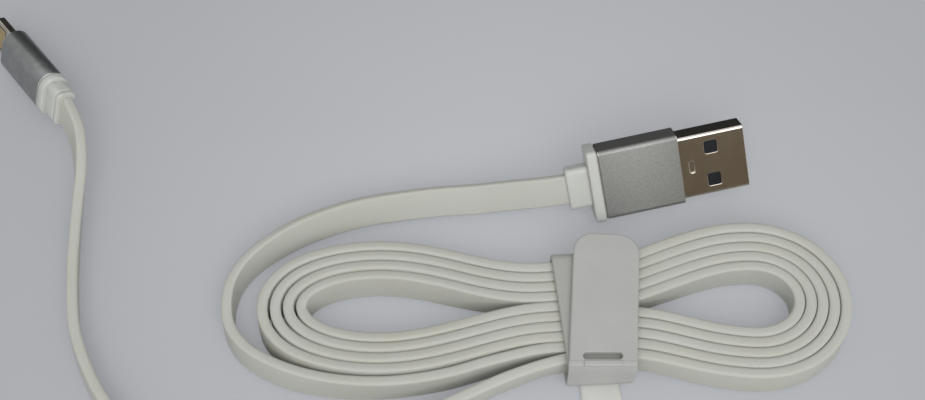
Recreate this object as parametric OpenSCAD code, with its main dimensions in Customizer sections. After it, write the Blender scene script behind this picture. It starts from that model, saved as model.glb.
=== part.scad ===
// Flat charging cable folded into a tied hank: a wide host plug on one end, a slim device
// plug on the other, and a soft strap round the waist. Millimetres. The origin is on the
// table under the waist, +X runs along the hank, +Y goes towards the plugs, +Z is up.

/* [Cable] */
// Width of the flat cable
cable_w = 5.6; // [5:0.1:6.2]
// Thickness of the flat cable
cable_t = 1.85; // [1.4:0.05:2]
// Bevel on the long edges of the cable
cable_bevel = 0.4; // [0.2:0.05:0.6]
// Room round the cable where it passes through a plug's neck, collar and mould
slot_clear = 0.1; // [0.05:0.05:0.2]

/* [Hank] */
// Number of half loops, right and left in turn
half_loops = 9; // [5:2:11]
// Step from one strand to the next
turn_pitch = 1.93; // [1.85:0.01:2.2]
// Clear gap between neighbouring strands
turn_gap = 0.5; // [0.49:0.01:0.6]
// Where the right loops start to close in
right_flare = 26.3; // [20:0.1:34]
// Reach of the innermost right loop
right_reach = 34.1; // [30:0.1:44]
// Half width of the innermost right loop
right_spread = 6.4; // [5:0.1:9]
// How far the right loops swing away
right_drift = 2.1; // [-3:0.1:3]
// Straight neck of the left loops
left_neck = 10.7; // [8:0.1:16]
// Where the left loops start to close in
left_flare = 39.5; // [30:0.1:48]
// Reach of the innermost left loop
left_reach = 53.7; // [46:0.1:64]
// Half width of the innermost left loop
left_spread = 6; // [5:0.1:9]
// How far the left loops swing away
left_drift = -1.5; // [-3:0.1:3]
// Middle of the waist, towards the far side
waist_y = -0.6; // [-1:0.1:1]

/* [Strap] */
// Width of the strap
strap_w = 11.6; // [9:0.1:14]
// Thickness of the strap
strap_t = 1; // [0.8:0.1:1.6]
// Corner radius outside the strap's folds
strap_r = 2; // [1.8:0.1:3]
// Gap between the hank and the strap on the far side and on top
strap_clear = 0.3; // [0.3:0.05:1]
// Slack between the hank and the strap on the near side
strap_slack = 2; // [1.6:0.1:4]
// Middle of the strap along the hank
strap_x = -2.5; // [-4:0.1:0]
// Turn of the strap about the vertical
strap_turn = 3; // [0:0.5:6]
// Further slant of the strap's sides and tail
strap_slant = 3; // [0:0.5:6]
// Width of the tail that comes out under the near fold
tail_w = 7; // [4:0.1:8]
// Length of the tail outside the near fold
tail_l = 14; // [8:0.5:30]
// Corner radius at the tail's end
tail_r = 2.5; // [1:0.1:3.4]
// Gap round the tail in its slot
tail_clear = 0.3; // [0.2:0.05:0.5]

/* [Strap tab] */
// Length of the tab from its hinge to its free end
tab_l = 24.8; // [18:0.1:32]
// Slant of the tab against its hinge, the other way from the strap's
tab_skew = 4.3; // [0:0.1:10]
// Corner radius at the tab's free end
tab_r = 3.6; // [1:0.1:5.4]
// Gap under the tab
tab_gap = 0.3; // [0.2:0.05:0.6]
// Distance of the hinge from the near fold's outer face
hinge_inset = 0.85; // [0.6:0.05:2]
// Length of the tab's slot
tab_slot_w = 6.7; // [4:0.1:8]
// Width of the tab's slot
tab_slot_l = 1.2; // [0.8:0.05:1.6]
// Distance from the hinge to the slot's middle
tab_slot_at = 1; // [1:0.1:3]
// Radius of the rib between slot and hinge
tab_rib_r = 0.3; // [0.2:0.05:0.4]

/* [Host plug] */
// Length of the neck outside the end cap
host_neck_l = 4.1; // [3:0.1:7]
// Width of the neck
host_neck_w = 7.9; // [7:0.1:9]
// Height of the neck
host_neck_h = 3.3; // [2.8:0.1:4]
// Thickness of the end cap
host_cap_l = 2.05; // [1:0.05:3]
// How far the end cap stands proud of the sleeve all round
host_cap_proud = 0.2; // [0.1:0.05:0.4]
// Length of the metal sleeve
host_sleeve_l = 14.65; // [13:0.05:18]
// Wall of the metal sleeve
host_sleeve_wall = 0.38; // [0.3:0.02:0.4]
// Gap between the shell and the sleeve at the sides
sleeve_side_gap = 0.32; // [0.1:0.02:0.6]
// Gap between the shell and the sleeve over the flat faces
sleeve_face_gap = 0.07; // [0.05:0.01:0.3]
// Corner radius of the metal sleeve
host_sleeve_r = 0.8; // [0.6:0.1:1.2]
// Exposed length of the shell
shell_l = 12; // [11:0.05:14]
// Length of the shell held inside the sleeve
shell_hidden = 7.3; // [6:0.1:8]
// Width of the shell
shell_w = 12; // [11.8:0.05:12.4]
// Height of the shell
shell_h = 4.5; // [4.4:0.05:4.52]
// Wall of the shell
shell_wall = 0.32; // [0.25:0.01:0.4]
// Corner radius of the shell
shell_r = 0.6; // [0.5:0.05:0.8]
// Side of the square windows in the shell
window_a = 2.4; // [1.8:0.1:2.8]
// Distance from the tip to the windows' middle
window_at = 6.2; // [4:0.05:7]
// Distance between the windows' middles
window_gap = 6.3; // [5:0.1:7]
// Thickness of the insulator's tongue
tongue_h = 1.85; // [1.5:0.05:2]
// How far the tongue stops short of the shell's mouth
tongue_back = 0.8; // [0.5:0.1:2]
// Length of the insulator's solid back
tongue_root = 4.6; // [3:0.1:6]
// Width of one contact
contact_w = 1; // [0.7:0.05:1.2]
// Thickness of one contact
contact_t = 0.25; // [0.2:0.01:0.3]
// Distance between contacts' middles
contact_pitch = 2.3; // [2:0.05:2.5]
// Wall of the clamp on the cable's end
clamp_wall = 0.35; // [0.2:0.05:0.4]
// Length of the clamp
clamp_l = 1.8; // [1:0.1:2.2]
// Diameter of one insulated wire in the host plug
host_wire_d = 0.9; // [0.6:0.05:1]

/* [Device plug] */
// Length of the neck outside the collar
device_neck_l = 4.1; // [3:0.1:7]
// Width of the neck
device_neck_w = 7.2; // [6.8:0.1:8]
// Height of the neck
device_neck_h = 3.7; // [3:0.1:4.4]
// Thickness of the end collar
device_collar_l = 1.7; // [1:0.05:3]
// Length of the metal sleeve
device_sleeve_l = 14.9; // [14:0.1:17]
// Width of the metal sleeve
device_sleeve_w = 8.8; // [8.6:0.1:10]
// Height of the metal sleeve
device_sleeve_h = 5.5; // [5.3:0.1:6.5]
// Wall of the metal sleeve
device_sleeve_wall = 0.45; // [0.3:0.05:0.5]
// Exposed length of the tab
plug_tab_l = 6.65; // [6:0.05:8]
// Length of the tab held inside the sleeve
plug_tab_hidden = 3.5; // [3:0.1:4]
// Width of the tab
plug_tab_w = 6.7; // [6.5:0.05:6.8]
// Thickness of the tab
plug_tab_t = 1.5; // [1.4:0.05:1.6]
// Corner radius at the tab's tip
plug_tab_r = 0.7; // [0.4:0.05:1]
// Number of contacts on each face of the tab
pad_count = 8; // [4:1:8]
// Distance between neighbouring contacts of the tab
pad_pitch = 0.55; // [0.5:0.01:0.58]
// Width of one contact of the tab
pad_w = 0.36; // [0.25:0.01:0.4]
// Length of one contact of the tab
pad_l = 2.2; // [1.5:0.1:2.6]
// Thickness of one contact of the tab
pad_t = 0.12; // [0.08:0.01:0.2]
// Distance from the tip to the contacts' middle
pad_at = 2.9; // [2.5:0.05:3.4]
// Length of the circuit board
board_l = 7.2; // [6:0.1:7.6]
// Width of the circuit board
board_w = 6.2; // [5:0.1:6.4]
// Thickness of the circuit board
board_t = 0.8; // [0.6:0.05:1]
// Length of the chip
chip_l = 3; // [2:0.1:4]
// Width of the chip
chip_w = 2; // [1.5:0.1:3]
// Height of the chip
chip_h = 0.7; // [0.5:0.05:0.9]
// Wall of the shield round the board
shield_wall = 0.15; // [0.1:0.01:0.2]
// Diameter of one insulated wire in the device plug
device_wire_d = 0.8; // [0.5:0.05:0.9]

/* [Fits] */
// Clearance between fixed pieces that sit in each other
fit = 0.05; // [0.03:0.01:0.08]
// Length of the end cap's and the collar's spigots inside the sleeves
spigot_l = 1; // [0.6:0.1:1.6]

/* [Hidden] */
$fn = 48;
eps = 0.01;

// Hank: number of the innermost turn's place, half width at the waist, thickness of a strand
middle = (half_loops - 1)/2;
strand_t = turn_pitch - turn_gap;
waist_half = (middle + 0.5)*turn_pitch + strand_t/2;
tail_run = 6;
flare_steps = 5;
cap_steps = 6;
// Loop shapes: neck, flare end, spread, reach, drift, run of the drift
right_lobe = [0, right_flare, right_spread, right_reach, right_drift, 23];
left_lobe = [left_neck, left_flare, left_spread, left_reach, left_drift, 30];

// The hank rides over the strap: height there, half length of the level part, length of the fall
lift_h = strap_t + 0.1;
lift_flat = strap_w/2 + 1.3;
lift_fall = 16;
function lift(x) =
    let (far = max(abs(x - strap_x) - lift_flat, 0))
    lift_h*(1 + cos(180*min(far/lift_fall, 1)))/2;

// Where each plug's neck lets the cable out, and how the plug is turned: roll, pitch, yaw
host_exit = [-5.94, 23.12, 6.72];
host_turn = [51, -5.6, 10.6];
device_exit = [-99.45, 40.05, 7.15];
device_turn = [-63, 8, 129];

// Host plug: the sleeve goes round the shell
host_sleeve_w = shell_w + 2*(sleeve_side_gap + host_sleeve_wall);
host_sleeve_h = shell_h + 2*(sleeve_face_gap + host_sleeve_wall);

// Stations along the host plug's own axis, from the cable's exit to the tip
host_cap_x = host_neck_l;
host_sleeve_x = host_cap_x + host_cap_l;
host_mould_x = host_sleeve_x + spigot_l + fit;
host_front_x = host_sleeve_x + host_sleeve_l;
shell_x = host_front_x - shell_hidden;
host_tip_x = host_front_x + shell_l;
clamp_x = host_mould_x + 0.3;
host_cable_x = clamp_x + clamp_l + 0.2;
contact_x = shell_x - 1.2;
tongue_x = shell_x + 0.3;
tongue_end = host_tip_x - tongue_back;
contact_count = 4;
contact_back = 0.6;

// Stations along the device plug's own axis
device_collar_x = device_neck_l;
device_sleeve_x = device_collar_x + device_collar_l;
device_mould_x = device_sleeve_x + spigot_l + fit;
device_front_x = device_sleeve_x + device_sleeve_l;
plug_tab_x = device_front_x - plug_tab_hidden;
device_tip_x = device_front_x + plug_tab_l;
board_x = plug_tab_x - board_l;
device_cable_x = device_mould_x + 0.8;
block_room = 0.35;
block_w = (pad_count - 1)*pad_pitch + pad_w + 2*block_room;
block_l = pad_l + 2*block_room;
shield_gap = 0.1;
shield_w = board_w + 2*shield_gap + 2*shield_wall;
shield_h = board_t + 2*chip_h + 2*shield_gap + 2*shield_wall;

// Free stretches, from the hank to the plug: x, y, lean (top to the left of travel), rise
device_route = [
    [-9.5, -10.4, 7, 0], [-13.1, -11.5, 6, 0], [-18.1, -13.3, 4, 0], [-23.2, -15.6, 2, 0],
    [-28.3, -18, 0, 0], [-36, -21.8, 0, 0], [-46, -26.3, -2, 0], [-57, -29.4, -4, 0],
    [-68, -29.6, -6, 0], [-78, -25.6, -8, 0], [-85.6, -17.4, -9, 0], [-90, -10.2, -9, 0],
    [-92.9, -2.7, -9, 0], [-94.5, 7, -10, 0], [-95.1, 15, -12, 0.4], [-95.3, 22, -14, 1.1],
    [-95.4, 27, -17, 2], [-95.9, 31.2, -20, 2.8], [-96.9, 35.2, -23, 3.5]];
host_route = [
    [-12, -8.4, -1, 0], [-20, -10.2, -3, 0], [-28, -12.5, -4, 0], [-37, -13.9, -5, 0],
    [-46, -13.8, -9, 0], [-54, -12.2, -13, 0], [-60.5, -9.2, -12, 0], [-64.2, -5.8, -8, 0],
    [-66, -1.6, -2, 0], [-65.7, 4.6, 6, 0], [-62.6, 9.9, 15, 0], [-57, 14.5, 25, 0],
    [-51, 17.7, 31, 0], [-44, 20.2, 35, 0], [-37, 21.6, 39, 0], [-30, 22.5, 42, 0.2],
    [-23, 22.7, 43, 0.8], [-16, 22.7, 42, 1.6], [-10, 22.7, 40, 2.4]];

// ---------- swept cable ----------
function unit(v) = v/norm(v);

// Half-way points and spread of a tube's outline: across (left of travel) and up
function flat_section(w, t, b) = [
    [-t/2, b - w/2], [b - t/2, -w/2], [t/2 - b, -w/2], [t/2, b - w/2],
    [t/2, w/2 - b], [t/2 - b, w/2], [b - t/2, w/2], [-t/2, w/2 - b]];
function strand_section(w, t, b) = [
    [-t/2, -w/2], [t/2, -w/2], [t/2, w/2 - b], [t/2 - b, w/2], [b - t/2, w/2], [-t/2, w/2 - b]];

// One ring of a tube at centre c, across direction d, leaning by so many degrees
function ring(c, d, lean, section) =
    let (side = unit(cross([0, 0, 1], d)), top = cross(unit(d), side),
         across = side*cos(lean) - top*sin(lean), up = top*cos(lean) + side*sin(lean))
    [for (p = section) c + across*p[0] + up*p[1]];

// Direction of travel at point i of a path
function heading(path, i) = unit(path[min(i + 1, len(path) - 1)] - path[max(i - 1, 0)]);

// A closed tube through the rings
module tube(rings) {
    n = len(rings[0]);
    last = len(rings) - 1;
    polyhedron(
        points = [for (r = rings) for (p = r) p],
        faces = concat(
            [for (i = [1:n - 2]) [0, i, i + 1]],
            [for (i = [1:n - 2]) [last*n, last*n + i + 1, last*n + i]],
            [for (k = [0:last - 1]) for (i = [0:n - 1])
                [k*n + i, k*n + n + i, k*n + (i + 1)%n]],
            [for (k = [0:last - 1]) for (i = [0:n - 1])
                [k*n + (i + 1)%n, k*n + n + i, k*n + n + (i + 1)%n]]));
}

// ---------- hank ----------
// Middle line of the innermost strand, t from 0 at the waist to 3 at the loop's tip
function lobe_mid(q, t) =
    t < 1 ? [t*q[0], turn_pitch/2]
    : t < 2 ? [q[0] + (t - 1)*(q[1] - q[0]),
               turn_pitch/2 + (q[2] - turn_pitch/2)*(1 - cos(180*(t - 1)))/2]
    : [q[1] + (q[3] - q[1])*sin(90*(t - 2)), q[2]*cos(90*(t - 2))];
// Its direction there
function lobe_dir(q, t) = unit(
    t < 1 ? [1, 0]
    : t < 2 ? [q[1] - q[0], (q[2] - turn_pitch/2)*PI/2*sin(180*(t - 1))]
    : [(q[3] - q[1])*cos(90*(t - 2)), -q[2]*sin(90*(t - 2))]);
// Strand k lies k pitches further out; past the tip the loop is mirrored
function lobe_point(q, t, k) =
    let (m = t <= 3 ? t : 6 - t, c = lobe_mid(q, m), d = lobe_dir(q, m))
    [c[0] - d[1]*k*turn_pitch, (t <= 3 ? 1 : -1)*(c[1] + d[0]*k*turn_pitch)];
function drift(q, u) = q[4]*sin(90*min(max(u/q[5], 0), 1));

// Half loop i as plan points in order of travel
function half_loop(i) =
    let (right = i%2 == 0, q = right ? right_lobe : left_lobe,
         k = i <= middle ? middle - i : i - middle - 1,
         far_first = (i <= middle) == (i%2 == 1),
         steps = concat(right ? [] : [0], [for (j = [0:flare_steps - 1]) 1 + j/flare_steps],
                        [for (j = [0:cap_steps]) 2 + j/cap_steps]),
         turns = concat(steps, [for (j = [len(steps) - 2:-1:0]) 6 - steps[j]]))
    [for (j = [0:len(turns) - 1])
        let (t = turns[far_first ? j : len(turns) - 1 - j], p = lobe_point(q, t, k))
        [(right ? 1 : -1)*p[0], p[1] + (right ? 0 : turn_pitch) + drift(q, p[0]) + waist_y]];

// Both ends leave the waist straight towards the left, side by side
function hank_end(strands) =
    [-tail_run, -strands*turn_pitch + drift(left_lobe, tail_run) + waist_y];
end_heading = [-tail_run, drift(left_lobe, tail_run), 0];
device_end = hank_end(middle + 0.5);
host_end = hank_end(middle - 0.5);
hank_plan = concat(
    [device_end],
    [for (i = [0:half_loops - 1]) let (h = half_loop(i)) for (j = [0:len(h) - 1])
        if (i == 0 || j > 0) h[j]],
    [host_end]);
hank_path = [for (p = hank_plan) [p[0], p[1], cable_w/2 + lift(p[0])]];

// Distance from point p to the piece of line from a to b
function line_gap(p, a, b) =
    let (s = min(max((p - a)*(b - a)/((b - a)*(b - a)), 0), 1)) norm(p - a - s*(b - a));
// Least clear gap between strands, measured between each ring and every strand not next to it
function hank_gap() =
    min([for (i = [0:len(hank_plan) - 1]) for (j = [0:len(hank_plan) - 2])
        if (abs(i - j) > 6) line_gap(hank_plan[i], hank_plan[j], hank_plan[j + 1])]) - strand_t;

module cable_hank() {
    section = strand_section(cable_w, strand_t, cable_bevel);
    echo(least_gap_between_strands = hank_gap());
    color("ivory") tube([for (i = [0:len(hank_path) - 1])
        ring(hank_path[i], i == 0 ? hank_path[1] - hank_path[0] : heading(hank_path, i), 0,
             section)]);
}

// ---------- free stretches ----------
function rest_height(x, lean, rise) =
    (cable_w*cos(lean) + cable_t*abs(sin(lean)))/2 + lift(x) + rise;
// Direction from a plug's exit towards its tip, and the cable's lean in its neck
function plug_axis(turn) = [cos(turn[1])*cos(turn[2]), cos(turn[1])*sin(turn[2]), -sin(turn[1])];
function plug_lean(turn) = turn[0] > 0 ? 90 - turn[0] : -90 - turn[0];

// The stretch starts face to face with the hank and ends at its clamp inside the plug
module stretch(start, route, exit, turn, inside) {
    axis = plug_axis(turn);
    lean = plug_lean(turn);
    path = concat(
        [[start[0], start[1], rest_height(start[0], 0, 0)]],
        [for (p = route) [p[0], p[1], rest_height(p[0], p[2], p[3])]],
        [exit, exit + inside*axis]);
    leans = concat([0], [for (p = route) p[2]], [lean, lean]);
    last = len(path) - 1;
    color("ivory") tube([for (i = [0:last])
        ring(path[i], i == 0 ? end_heading : i >= last - 1 ? axis : heading(path, i), leans[i],
             flat_section(cable_w, cable_t, cable_bevel))]);
}

module cable_host_stretch() {
    stretch(host_end, host_route, host_exit, host_turn, host_cable_x);
}
module cable_device_stretch() {
    stretch(device_end, device_route, device_exit, device_turn, device_cable_x);
}

// ---------- shapes that several pieces use ----------
// Rectangle with round corners, centred
module round_rect(w, h, r) {
    square([w - 2*r, h], center = true);
    square([w, h - 2*r], center = true);
    for (x = [-1, 1]) for (y = [-1, 1])
        translate([x*(w/2 - r), y*(h/2 - r)]) circle(r);
}
// Bar along a plug's axis from x to x + l, w wide and h high with round corners
module bar(x, l, w, h, r) {
    translate([x, 0, 0]) rotate([90, 0, 90]) linear_extrude(l) round_rect(w, h, r);
}
// Square-edged block along a plug's axis
module block(x, l, w, h) {
    translate([x, -w/2, -h/2]) cube([l, w, h]);
}
// Slot that the cable passes through, from x over length l
module cable_slot(x, l) {
    block(x, l, cable_w + 2*slot_clear, cable_t + 2*slot_clear);
}
module on_host_plug() {
    translate(host_exit) rotate(host_turn) children();
}
// The insulator and what it carries lie upside down in the shell: its tongue is against the
// wide face that is up
module in_host_shell() {
    on_host_plug() rotate([180, 0, 0]) children();
}
module on_device_plug() {
    translate(device_exit) rotate(device_turn) children();
}
// Wires side by side along a plug's axis
module wire_row(x, l, d, pitch) {
    for (i = [0:contact_count - 1])
        translate([x, (i - (contact_count - 1)/2)*pitch, 0]) rotate([0, 90, 0])
            cylinder(d = d, h = l);
}

// ---------- strap ----------
// Inside of the strap, in its own turned frame
strap_far = waist_half + waist_y + strap_clear;
strap_near = waist_half - waist_y + strap_slack;
strap_top = lift_h + cable_w + strap_clear;
fold_out = strap_near + strap_t;
tail_root = tail_r + 0.5;

// The tab's hinge runs along x
hinge_y = hinge_inset - fold_out;
hinge_x = strap_x - hinge_y*tan(strap_turn + strap_slant);
hinge_z = strap_top + strap_t + tab_gap + strap_t/2;

// Shift of the slanted strap at a distance y from its middle
function slant(y) = -y*tan(strap_slant);

module on_strap() {
    translate([strap_x, 0, 0]) rotate([0, 0, strap_turn]) children();
}
// Extrude a side view (y, z) across the strap by width w
module across_strap(w) {
    translate([-w/2, 0, 0]) rotate([90, 0, 90]) linear_extrude(w) children();
}
// Plan of the slanted strap between two distances
module strap_plan(y0, y1) {
    half = strap_w/2/cos(strap_slant);
    polygon([[slant(y0) - half, y0], [slant(y0) + half, y0],
             [slant(y1) + half, y1], [slant(y1) - half, y1]]);
}

module strap_band() {
    depth = strap_far + strap_near;
    mid_y = (strap_far - strap_near)/2;
    top = strap_top + strap_t;
    color("lightgray") on_strap() {
        intersection() {
            difference() {
                across_strap(2*strap_w) difference() {
                    translate([mid_y, top/2]) round_rect(depth + 2*strap_t, top, strap_r);
                    translate([mid_y, top/2])
                        round_rect(depth, strap_top - strap_t, strap_r - strap_t);
                }
                translate([slant(-fold_out) - tail_w/2 - tail_clear, -fold_out - eps, -eps])
                    cube([tail_w + 2*tail_clear, strap_t + eps, strap_t + tail_clear + eps]);
            }
            translate([0, 0, -eps]) linear_extrude(top + 2*eps)
                strap_plan(-fold_out - 1, strap_far + strap_t + 1);
        }
        translate([slant(-fold_out), -fold_out, 0]) rotate([0, 0, strap_slant])
            translate([0, (strap_t + tail_root - tail_l)/2, 0]) linear_extrude(strap_t)
                round_rect(tail_w, tail_l + strap_t + tail_root, tail_r);
    }
}

// The tab's plan starts at its hinge line and leans away from it
module tab_plan() {
    over = strap_w*sin(tab_skew);
    intersection() {
        rotate(-tab_skew) translate([0, (tab_l - over)/2])
            round_rect(strap_w, tab_l + over, tab_r);
        translate([-strap_w, 0]) square([2*strap_w, tab_l + strap_w]);
    }
}
module strap_tab() {
    hinge_w = strap_w/cos(tab_skew);
    color("silver") translate([hinge_x, hinge_y, hinge_z]) {
        difference() {
            union() {
                translate([0, 0, -strap_t/2]) linear_extrude(strap_t) tab_plan();
                rotate([0, 90, 0]) cylinder(d = strap_t, h = hinge_w, center = true);
            }
            translate([-tab_slot_w/2, tab_slot_at - tab_slot_l/2, -strap_t])
                cube([tab_slot_w, tab_slot_l, 2*strap_t]);
        }
        translate([0, 0, strap_t/2]) rotate([0, 90, 0])
            cylinder(r = tab_rib_r, h = tab_slot_w, center = true);
    }
}

// ---------- host plug ----------
module host_shell() {
    inner_w = shell_w - 2*shell_wall;
    inner_h = shell_h - 2*shell_wall;
    color("silver") on_host_plug() difference() {
        bar(shell_x, host_tip_x - shell_x, shell_w, shell_h, shell_r);
        bar(shell_x - eps, host_tip_x - shell_x + 2*eps, inner_w, inner_h, shell_r - shell_wall);
        for (y = [-1, 1])
            translate([host_tip_x - window_at, y*window_gap/2, 0])
                cube([window_a, window_a, 2*shell_h], center = true);
    }
}

tongue_w = shell_w - 2*shell_wall - 2*fit;
tongue_z = fit + shell_wall - shell_h/2;
contact_z = tongue_z + tongue_h;
function contact_y(i) = (i - (contact_count - 1)/2)*contact_pitch;

// Groove for one contact: open along the tongue, a tunnel through the back
module contact_groove(i) {
    translate([tongue_x - eps, contact_y(i) - contact_w/2 - fit, contact_z - contact_t - fit])
        cube([tongue_end - tongue_x - contact_back + fit, contact_w + 2*fit, contact_t + 2*fit]);
}
module host_insulator() {
    root_h = shell_h - 2*shell_wall - 2*fit;
    color("dimgray") in_host_shell() difference() {
        union() {
            translate([tongue_x, -tongue_w/2 + shell_r, tongue_z])
                cube([tongue_end - tongue_x, tongue_w - 2*shell_r, tongue_h]);
            translate([tongue_x, -tongue_w/2, tongue_z + shell_r])
                cube([tongue_end - tongue_x, tongue_w, tongue_h - shell_r]);
            bar(tongue_x, tongue_root, tongue_w, root_h, shell_r);
        }
        for (i = [0:contact_count - 1]) contact_groove(i);
    }
}
module host_contacts() {
    color("gold") in_host_shell() for (i = [0:contact_count - 1])
        translate([contact_x, contact_y(i) - contact_w/2, contact_z - contact_t])
            cube([tongue_end - contact_back - contact_x, contact_w, contact_t]);
}
module host_wires() {
    color("tomato") in_host_shell() translate([0, 0, contact_z - contact_t/2])
        wire_row(host_cable_x + fit, contact_x - host_cable_x - 2*fit, host_wire_d,
                 contact_pitch);
}
module host_cable_clamp() {
    clamp_w = cable_w + 2*slot_clear + 2*clamp_wall;
    color("gainsboro") on_host_plug() difference() {
        block(clamp_x, clamp_l, clamp_w, cable_t + 2*slot_clear + 2*clamp_wall);
        cable_slot(clamp_x - eps, clamp_l + 2*eps);
    }
}

// Outside of whatever fills the host sleeve
host_core_w = host_sleeve_w - 2*host_sleeve_wall - 2*fit;
host_core_h = host_sleeve_h - 2*host_sleeve_wall - 2*fit;
host_core_r = host_sleeve_r - host_sleeve_wall;
module host_inner_mould() {
    clamp_w = cable_w + 2*slot_clear + 2*clamp_wall + 2*fit;
    clamp_h = cable_t + 2*slot_clear + 2*clamp_wall + 2*fit;
    wires_w = (contact_count - 1)*contact_pitch + max(host_wire_d, contact_w) + 2*slot_clear;
    wires_h = 2*abs(contact_z - contact_t/2) + host_wire_d + 2*slot_clear;
    color("ghostwhite") on_host_plug() difference() {
        bar(host_mould_x, shell_x - fit - host_mould_x, host_core_w, host_core_h, host_core_r);
        cable_slot(host_mould_x - eps, host_cable_x - host_mould_x + fit);
        block(clamp_x - fit, clamp_l + 2*fit, clamp_w, clamp_h);
        block(host_cable_x - eps, shell_x - host_cable_x, wires_w, wires_h);
    }
}
module host_sleeve() {
    inner_w = host_sleeve_w - 2*host_sleeve_wall;
    inner_h = host_sleeve_h - 2*host_sleeve_wall;
    color("darkgray") on_host_plug() difference() {
        bar(host_sleeve_x + fit, host_sleeve_l - fit, host_sleeve_w, host_sleeve_h,
            host_sleeve_r);
        bar(host_sleeve_x, host_sleeve_l + fit, inner_w, inner_h, host_core_r);
    }
}
module host_end_cap() {
    color("ivory") on_host_plug() difference() {
        union() {
            bar(host_cap_x + fit, host_cap_l - fit, host_sleeve_w + 2*host_cap_proud,
                host_sleeve_h + 2*host_cap_proud, host_sleeve_r);
            bar(host_sleeve_x - eps, spigot_l + eps, host_core_w, host_core_h, host_core_r);
        }
        cable_slot(host_cap_x, host_cap_l + spigot_l + fit);
    }
}
module host_neck() {
    color("ivory") on_host_plug() difference() {
        bar(0, host_neck_l, host_neck_w, host_neck_h, 0.9);
        cable_slot(-eps, host_neck_l + 2*eps);
    }
}

// ---------- device plug ----------
device_core_w = device_sleeve_w - 2*device_sleeve_wall - 2*fit;
device_core_h = device_sleeve_h - 2*device_sleeve_wall - 2*fit;

// Bar with half-round sides, w wide and h high
module oval_bar(x, l, w, h) {
    bar(x, l, w, h, h/2 - eps);
}
module device_tab() {
    tab_len = device_tip_x - plug_tab_x;
    color("silver") on_device_plug() difference() {
        translate([plug_tab_x + tab_len/2, 0, -plug_tab_t/2]) linear_extrude(plug_tab_t) {
            round_rect(tab_len, plug_tab_w, plug_tab_r);
            translate([-tab_len/2, -plug_tab_w/2]) square([tab_len/2, plug_tab_w]);
        }
        block(device_tip_x - pad_at - block_l/2 - fit, block_l + 2*fit, block_w + 2*fit,
              2*plug_tab_t);
    }
}
// Recesses for the contacts on both faces
module pads(grow) {
    for (side = [-1, 1]) for (i = [0:pad_count - 1])
        translate([device_tip_x - pad_at, (i - (pad_count - 1)/2)*pad_pitch,
                   side*(plug_tab_t - pad_t)/2])
            cube([pad_l + 2*grow, pad_w + 2*grow, pad_t + 2*grow], center = true);
}
module device_contact_block() {
    color("dimgray") on_device_plug() difference() {
        block(device_tip_x - pad_at - block_l/2, block_l, block_w, plug_tab_t);
        pads(0.02);
    }
}
module device_contacts() {
    color("gold") on_device_plug() pads(0);
}
module device_circuit_board() {
    color("seagreen") on_device_plug()
        block(board_x, board_l - fit, board_w, board_t);
}
module device_chip() {
    color("black") on_device_plug()
        translate([board_x + board_l/2 - chip_l/2, -chip_w/2, board_t/2])
            cube([chip_l, chip_w, chip_h]);
}
module device_shield() {
    color("lightsteelblue") on_device_plug() difference() {
        block(board_x, board_l - fit, shield_w, shield_h);
        block(board_x - eps, board_l + eps, shield_w - 2*shield_wall,
              shield_h - 2*shield_wall);
    }
}
module device_wires() {
    color("tomato") on_device_plug()
        wire_row(device_cable_x + fit, board_x - device_cable_x - 2*fit, device_wire_d,
                 board_w/5);
}
module device_inner_mould() {
    color("ghostwhite") on_device_plug() difference() {
        oval_bar(device_mould_x, device_front_x - device_mould_x, device_core_w, device_core_h);
        cable_slot(device_mould_x - eps, device_cable_x - device_mould_x + fit);
        block(device_cable_x - eps, board_x - device_cable_x, board_w*3/5 + device_wire_d + 2*fit,
              device_wire_d + 2*fit);
        block(board_x - fit, board_l + fit, shield_w + 2*fit, shield_h + 2*fit);
        block(plug_tab_x - fit, plug_tab_hidden + 2*fit, plug_tab_w + 2*fit,
              plug_tab_t + 2*fit);
    }
}
module device_sleeve() {
    color("gray") on_device_plug() difference() {
        oval_bar(device_sleeve_x + fit, device_sleeve_l - fit, device_sleeve_w,
                 device_sleeve_h);
        oval_bar(device_sleeve_x, device_sleeve_l + fit, device_core_w + 2*fit,
                 device_core_h + 2*fit);
    }
}
module device_end_collar() {
    color("ivory") on_device_plug() difference() {
        union() {
            oval_bar(device_collar_x + fit, device_collar_l - fit, device_sleeve_w,
                     device_sleeve_h);
            oval_bar(device_sleeve_x - eps, spigot_l + eps, device_core_w, device_core_h);
        }
        cable_slot(device_collar_x, device_collar_l + spigot_l + fit);
    }
}
module device_neck() {
    color("ivory") on_device_plug() difference() {
        bar(0, device_neck_l, device_neck_w, device_neck_h, 1.2);
        cable_slot(-eps, device_neck_l + 2*eps);
    }
}

cable_hank();
cable_host_stretch();
cable_device_stretch();
strap_band();
strap_tab();
host_shell();
host_insulator();
host_contacts();
host_wires();
host_cable_clamp();
host_inner_mould();
host_sleeve();
host_end_cap();
host_neck();
device_tab();
device_contact_block();
device_contacts();
device_circuit_board();
device_chip();
device_shield();
device_wires();
device_inner_mould();
device_sleeve();
device_end_collar();
device_neck();
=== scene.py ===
"""Flat charging cable, folded into a hank held by a soft strap, with a wide and a slim plug."""

import math
from collections import namedtuple

import bmesh
import bpy
from mathutils import Euler, Matrix, Vector


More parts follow.
